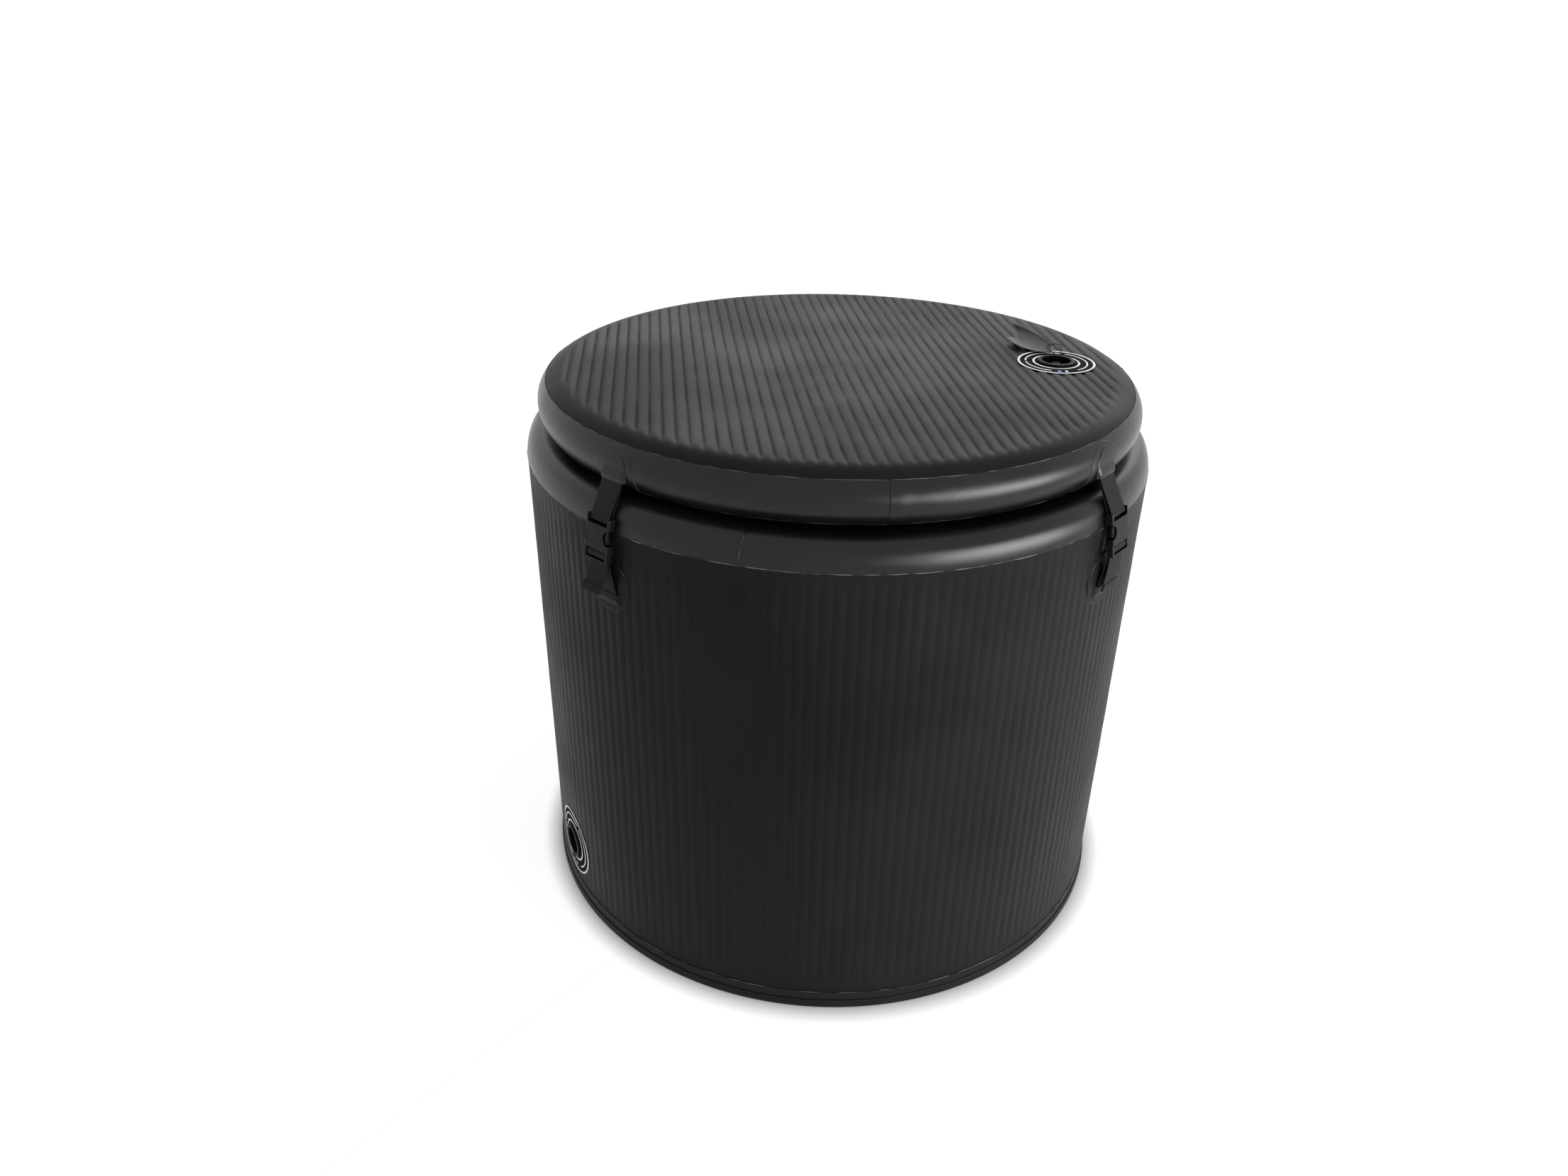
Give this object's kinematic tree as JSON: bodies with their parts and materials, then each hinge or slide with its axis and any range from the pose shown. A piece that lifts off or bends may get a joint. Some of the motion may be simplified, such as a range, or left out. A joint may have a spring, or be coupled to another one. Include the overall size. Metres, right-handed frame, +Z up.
{
  "type": "inflatable bathtub",
  "caption": "Round upright inflatable bathtub of stitched double-wall fabric with an inflatable lid held down by webbing straps and side-release buckles, air valves and a drain.",
  "frame": {"origin": "on the floor, at the middle of the tub's round base", "axes": "+Z up along the tub's axis, front (the side between the two seen buckles) along -Y, +X to the right when seen from the front"},
  "size_m": [0.9063, 0.9244, 0.831],
  "materials": {
    "stitched_pvc": "satin",
    "band_pvc": "semi-gloss",
    "tape_pvc": "satin",
    "yarn": "matte",
    "webbing": "matte",
    "buckle_plastic": "satin",
    "valve_plastic": "satin",
    "spring_steel": "bright",
    "seal_rubber": "matte",
    "ring_label": "gloss",
    "tag_sheet": "satin",
    "cord": "matte"
  },
  "bodies": {
    "tub": {"tub_outer_skin": "stitched_pvc", "tub_inner_skin": "stitched_pvc", "wall_yarn_rows": "yarn", "rim_band": "band_pvc", "base_band": "band_pvc", "base_tape": "tape_pvc", "floor_sheet": "tape_pvc", "corner_tape": "tape_pvc", "wall_base_patches": "tape_pvc", "wall_pocket_patches": "tape_pvc", "wall_valve_body": "valve_plastic", "wall_valve_nut": "valve_plastic", "wall_valve_spring": "spring_steel", "wall_valve_label": "ring_label", "drain_tube": "valve_plastic", "drain_strainer": "valve_plastic", "front_left_plug": "buckle_plastic", "front_left_wall_strap": "webbing", "front_right_plug": "buckle_plastic", "front_right_wall_strap": "webbing", "back_right_plug": "buckle_plastic", "back_right_wall_strap": "webbing", "back_left_plug": "buckle_plastic", "back_left_wall_strap": "webbing"},
    "lid": {"lid_top_skin": "stitched_pvc", "lid_bottom_skin": "stitched_pvc", "lid_edge_band": "band_pvc", "lid_yarn_rows": "yarn", "lid_base_patches": "tape_pvc", "lid_pocket_patches": "tape_pvc", "lid_valve_body": "valve_plastic", "lid_valve_nut": "valve_plastic", "lid_valve_spring": "spring_steel", "lid_valve_label": "ring_label", "valve_tag": "tag_sheet", "tag_cord": "cord", "front_left_socket": "buckle_plastic", "front_left_lid_strap": "webbing", "front_right_socket": "buckle_plastic", "front_right_lid_strap": "webbing", "back_right_socket": "buckle_plastic", "back_right_lid_strap": "webbing", "back_left_socket": "buckle_plastic", "back_left_lid_strap": "webbing"},
    "front_left_left_prong": {"front_left_left_prong": "buckle_plastic"},
    "front_left_right_prong": {"front_left_right_prong": "buckle_plastic"},
    "front_right_left_prong": {"front_right_left_prong": "buckle_plastic"},
    "front_right_right_prong": {"front_right_right_prong": "buckle_plastic"},
    "back_right_left_prong": {"back_right_left_prong": "buckle_plastic"},
    "back_right_right_prong": {"back_right_right_prong": "buckle_plastic"},
    "back_left_left_prong": {"back_left_left_prong": "buckle_plastic"},
    "back_left_right_prong": {"back_left_right_prong": "buckle_plastic"},
    "wall_valve_poppet": {"wall_valve_stem": "valve_plastic", "wall_valve_seal": "seal_rubber"},
    "lid_valve_poppet": {"lid_valve_stem": "valve_plastic", "lid_valve_seal": "seal_rubber"},
    "drain_seal": {"drain_cap_seal": "seal_rubber"},
    "drain_cap": {"drain_cap": "valve_plastic"}
  },
  "joints": [
    {"name": "lid_lift", "type": "slide", "parent": "tub", "child": "lid", "axis": [0, 0, 1], "range_m": [0, 0.45]},
    {"name": "front_left_left_prong_squeeze", "type": "hinge", "parent": "tub", "child": "front_left_left_prong", "pos_m": [-0.33302, -0.31888, 0.6794], "axis": [0.6929, 0.6929, -0.1994], "range_deg": [0, 12], "stiffness_Nm_per_rad": 0.2},
    {"name": "front_left_right_prong_squeeze", "type": "hinge", "parent": "tub", "child": "front_left_right_prong", "pos_m": [-0.31888, -0.33302, 0.6794], "axis": [-0.6929, -0.6929, 0.1994], "range_deg": [0, 12], "stiffness_Nm_per_rad": 0.2},
    {"name": "front_right_left_prong_squeeze", "type": "hinge", "parent": "tub", "child": "front_right_left_prong", "pos_m": [0.31888, -0.33302, 0.6794], "axis": [-0.6929, 0.6929, -0.1994], "range_deg": [0, 12], "stiffness_Nm_per_rad": 0.2},
    {"name": "front_right_right_prong_squeeze", "type": "hinge", "parent": "tub", "child": "front_right_right_prong", "pos_m": [0.33302, -0.31888, 0.6794], "axis": [0.6929, -0.6929, 0.1994], "range_deg": [0, 12], "stiffness_Nm_per_rad": 0.2},
    {"name": "back_right_left_prong_squeeze", "type": "hinge", "parent": "tub", "child": "back_right_left_prong", "pos_m": [0.33302, 0.31888, 0.6794], "axis": [-0.6929, -0.6929, -0.1994], "range_deg": [0, 12], "stiffness_Nm_per_rad": 0.2},
    {"name": "back_right_right_prong_squeeze", "type": "hinge", "parent": "tub", "child": "back_right_right_prong", "pos_m": [0.31888, 0.33302, 0.6794], "axis": [0.6929, 0.6929, 0.1994], "range_deg": [0, 12], "stiffness_Nm_per_rad": 0.2},
    {"name": "back_left_left_prong_squeeze", "type": "hinge", "parent": "tub", "child": "back_left_left_prong", "pos_m": [-0.31888, 0.33302, 0.6794], "axis": [0.6929, -0.6929, -0.1994], "range_deg": [0, 12], "stiffness_Nm_per_rad": 0.2},
    {"name": "back_left_right_prong_squeeze", "type": "hinge", "parent": "tub", "child": "back_left_right_prong", "pos_m": [-0.33302, 0.31888, 0.6794], "axis": [-0.6929, 0.6929, 0.1994], "range_deg": [0, 12], "stiffness_Nm_per_rad": 0.2},
    {"name": "wall_valve_press", "type": "slide", "parent": "tub", "child": "wall_valve_poppet", "axis": [0.9114, 0.4115, 0], "range_m": [0, 0.005], "stiffness_N_per_m": 400, "deforming": ["wall_valve_spring"]},
    {"name": "lid_valve_press", "type": "slide", "parent": "lid", "child": "lid_valve_poppet", "axis": [0, 0, -1], "range_m": [0, 0.005], "stiffness_N_per_m": 400, "deforming": ["lid_valve_spring"]},
    {"name": "drain_cap_travel", "type": "slide", "parent": "tub", "child": "drain_seal", "axis": [0, 1, 0], "range_m": [0, 0.009]},
    {"name": "drain_cap_turn", "type": "hinge", "parent": "drain_seal", "child": "drain_cap", "pos_m": [0, 0.45, 0.062], "axis": [0, 1, 0], "range_deg": [0, 1080]}
  ],
  "couplings": [
    {"joint": "front_left_left_prong_squeeze", "follows": "front_left_right_prong_squeeze", "ratio": 1},
    {"joint": "front_right_left_prong_squeeze", "follows": "front_right_right_prong_squeeze", "ratio": 1},
    {"joint": "back_right_left_prong_squeeze", "follows": "back_right_right_prong_squeeze", "ratio": 1},
    {"joint": "back_left_left_prong_squeeze", "follows": "back_left_right_prong_squeeze", "ratio": 1},
    {"joint": "drain_cap_travel", "follows": "drain_cap_turn", "m_per_rad": 0.00047746}
  ]
}
